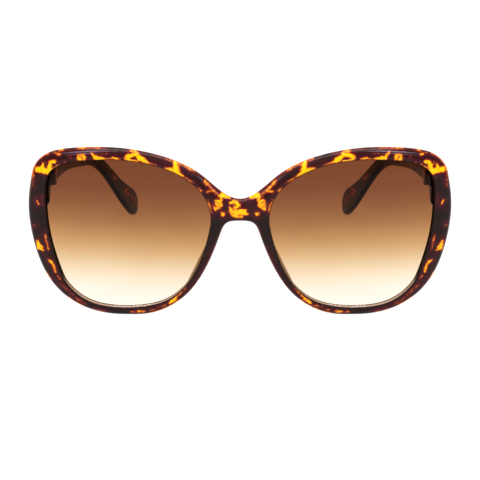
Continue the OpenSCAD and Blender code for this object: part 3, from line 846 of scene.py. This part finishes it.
def tinted_lens(name):
    """Clear sheet with a graduated tint, under a thin gloss."""
    m = Nodes(name)
    at = m.coordinates()
    height = m.node("SeparateXYZ", Vector=at).outputs[2]
    # Light crosses two faces, so each takes the square root of the whole tint.
    stops = [(z / LENS_TOP, tuple(math.sqrt(c) for c in rgb)) for z, rgb in LENS_STOPS]
    waver = m.span(m.noise(at, 60, 2), 0.3, 0.7, -0.0004, 0.0004)
    tint = m.ramp(m.span(m.maths("ADD", height, waver), 0.0, LENS_TOP * MM), stops)
    clear = m.node("BsdfTransparent", Color=tint)
    gloss = m.node("BsdfGlossy", Color=(1, 1, 1, 1),
                   Roughness=m.span(m.noise(at, 250, 3), 0.3, 0.7, 0.02, 0.06))
    facing = m.node("LayerWeight", Blend=0.5).outputs["Facing"]
    share = m.span(m.maths("POWER", facing, 5.0), 0.0, 1.0, LENS_SQUARE_ON, LENS_GRAZING)
    shader = m.node("MixShader", i0=share, i1=clear.outputs[0], i2=gloss.outputs[0])
    return m.finish(shader)


PAD_CLEAR = 0.55
PAD_IOR = 1.45


def smoky_pad(name):
    """Cloudy grey-brown acetate that lets some light through."""
    m = Nodes(name)
    at = m.coordinates()
    cloud = m.span(m.noise(at, 260, 3), 0.3, 0.7)
    colour = m.mix(cloud, (0.28, 0.23, 0.19), (0.44, 0.39, 0.34))
    body = m.node("BsdfPrincipled", Base_Color=colour,
                  Roughness=m.span(m.noise(at, 900, 3), 0.3, 0.7, 0.12, 0.24),
                  Normal=m.bump(m.noise(at, 400, 2), 0.00003, 0.5))
    body.inputs["IOR"].default_value = PAD_IOR
    clear = m.node("BsdfTransparent", Color=(0.72, 0.66, 0.58, 1))
    shader = m.node("MixShader", i0=PAD_CLEAR, i1=body.outputs[0], i2=clear.outputs[0])
    return m.finish(shader)


# How much darker a metal is in its scratches.
SCRATCH = 0.72


def metal(name, colour, grain, roughness, stretch):
    """Drawn or turned metal, with its grain along the long way of the stretch."""
    m = Nodes(name)
    lines = m.noise(m.coordinates(stretch), grain, 4, 0.65)
    worn = m.noise(m.coordinates(), 700, 3, 0.6)
    dark = tuple(c * SCRATCH for c in colour)
    tone = m.mix(m.span(m.maths("MULTIPLY", lines, worn), 0.1, 0.4), dark, colour)
    shader = m.node("BsdfPrincipled", Base_Color=tone,
                    Roughness=m.span(lines, 0.3, 0.7, roughness - 0.08, roughness + 0.1),
                    Normal=m.bump(lines, 0.00002, 0.5))
    shader.inputs["Metallic"].default_value = 1.0
    return m.finish(shader)


FLOOR_GLOW = 0.98


def white_floor(name):
    """A pale floor lit a little from below, as on a light table, so that shadows stay faint."""
    m = Nodes(name)
    tone = m.span(m.noise(m.coordinates(), 3, 2), 0.0, 1.0, 0.14, 0.16)
    colour = m.node("CombineColor", i0=tone, i1=tone, i2=tone).outputs[0]
    shader = m.node("BsdfPrincipled", Base_Color=colour, Emission_Color=(1, 1, 1, 1))
    shader.inputs["Emission Strength"].default_value = FLOOR_GLOW
    shader.inputs["Roughness"].default_value = 0.9
    shader.inputs["Specular IOR Level"].default_value = 0.0
    return m.finish(shader)


# ---- pieces -------------------------------------------------------------------------

shell = tortoiseshell("tortoiseshell_acetate", FRONT_IOR)
arm_shell = tortoiseshell("tortoiseshell_temple", TEMPLE_IOR)
lens_tint = tinted_lens("graduated_lens")
pad_smoke = smoky_pad("smoky_acetate")
METALS = {
    "front_hinge": metal("dark_plated_leaf", (0.34, 0.27, 0.22), 2400, 0.3, (1, 1, 0.12)),
    "temple_hinge": metal("dark_plated_plate", (0.34, 0.28, 0.23), 2400, 0.28, (1, 0.12, 1)),
    "hinge_screw": metal("turned_steel", (0.78, 0.77, 0.74), 3200, 0.22, (1, 1, 2)),
    "temple_core": metal("drawn_wire", (0.70, 0.66, 0.56), 2600, 0.35, (1, 0.08, 1)),
}

build_front(shell)
for side, sign in SIDES.items():
    points, faces = mirrored(*lens_mesh(), sign)
    add_piece("lens_sheet_" + side, points, faces, lens_tint, "front", ["lens_" + side])
    points, faces = mirrored(*pad_mesh(), sign)
    add_piece("nose_bead_" + side, points, faces, pad_smoke, "front", ["nose_pad_" + side])
    points, faces, run = temple_mesh()
    points, faces = mirrored(points, faces, sign)
    add_piece("acetate_temple_" + side, points, faces, arm_shell, "temple_" + side,
              ["temple_" + side], {"fleck": arm_flecks(run)})
    for kind, finish in METALS.items():
        solid = frame["nodes"][kind + "_" + side]
        for slot in solid.material_slots:
            slot.material = finish

# ---- studio -------------------------------------------------------------------------

FLOOR_HALF = 40.0
WORLD_STRENGTH = 0.42
# The camera's place in mm, how far it looks down in degrees, and its focal length in mm,
# fitted to the photograph.
CAMERA_AT = np.array([0, -298.7, 110.16])
CAMERA_DOWN = 15.4
CAMERA_LENS = 69.8
# The two side lights: their distance across, in front and up, in metres, and radiance.
SIDE_X = 0.75
SIDE_Y = 0.74
SIDE_Z = 0.9
SIDE_RADIANCE = 20.0


def add_floor():
    mesh = bpy.data.meshes.new("studio_floor")
    corners = [(-1, -1), (1, -1), (1, 1), (-1, 1)]
    mesh.from_pydata([(x * FLOOR_HALF, y * FLOOR_HALF, 0) for x, y in corners], [], [(0, 1, 2, 3)])
    mesh.materials.append(white_floor("white_sweep"))
    floor = bpy.data.objects.new("studio_floor", mesh)
    bpy.context.scene.collection.objects.link(floor)


def add_softbox(name, at, aim, size, radiance, colour=(1, 1, 1)):
    """A rectangular soft light whose face has the given radiance."""
    light = bpy.data.lights.new(name, "AREA")
    light.shape = "RECTANGLE"
    light.size, light.size_y = size
    light.energy = radiance * math.pi * size[0] * size[1]
    light.color = colour
    lamp = bpy.data.objects.new(name, light)
    bpy.context.scene.collection.objects.link(lamp)
    lamp.location = at
    direction = np.array(aim, float) - np.array(at, float)
    flat = math.hypot(direction[0], direction[1])
    lamp.rotation_euler = (math.pi / 2 + math.atan2(direction[2], flat), 0,
                           math.atan2(direction[1], direction[0]) - math.pi / 2)


def add_world(strength):
    world = bpy.data.worlds.new("studio_world")
    world.use_nodes = True
    background = world.node_tree.nodes["Background"]
    background.inputs["Color"].default_value = (1, 1, 1, 1)
    background.inputs["Strength"].default_value = strength
    bpy.context.scene.world = world


def add_camera(at, pitch_down, focal):
    data = bpy.data.cameras.new("camera")
    data.sensor_width = 36
    data.lens = focal
    data.clip_start = 0.01
    data.clip_end = 200
    camera = bpy.data.objects.new("camera", data)
    bpy.context.scene.collection.objects.link(camera)
    camera.location = at
    camera.rotation_euler = (math.radians(90 - pitch_down), 0, 0)
    bpy.context.scene.camera = camera


add_floor()
add_world(WORLD_STRENGTH)
add_softbox("top_softbox", (0, 0.05, 1.0), (0, -0.03, 0), (1.0, 0.6), 4.6)
add_softbox("front_softbox", (0, -1.0, 0.95), (0, 0, 0.05), (0.9, 1.1), 0.8, (0.97, 0.96, 1.0))
for name, sign in SIDES.items():
    add_softbox(name + "_softbox", (sign * SIDE_X, -SIDE_Y, SIDE_Z), (0, -0.05, 0.05), (0.26, 0.6),
                SIDE_RADIANCE, (0.93, 0.84, 1.0))
add_camera(place(CAMERA_AT), CAMERA_DOWN, CAMERA_LENS)
bpy.context.scene.view_settings.view_transform = "Standard"
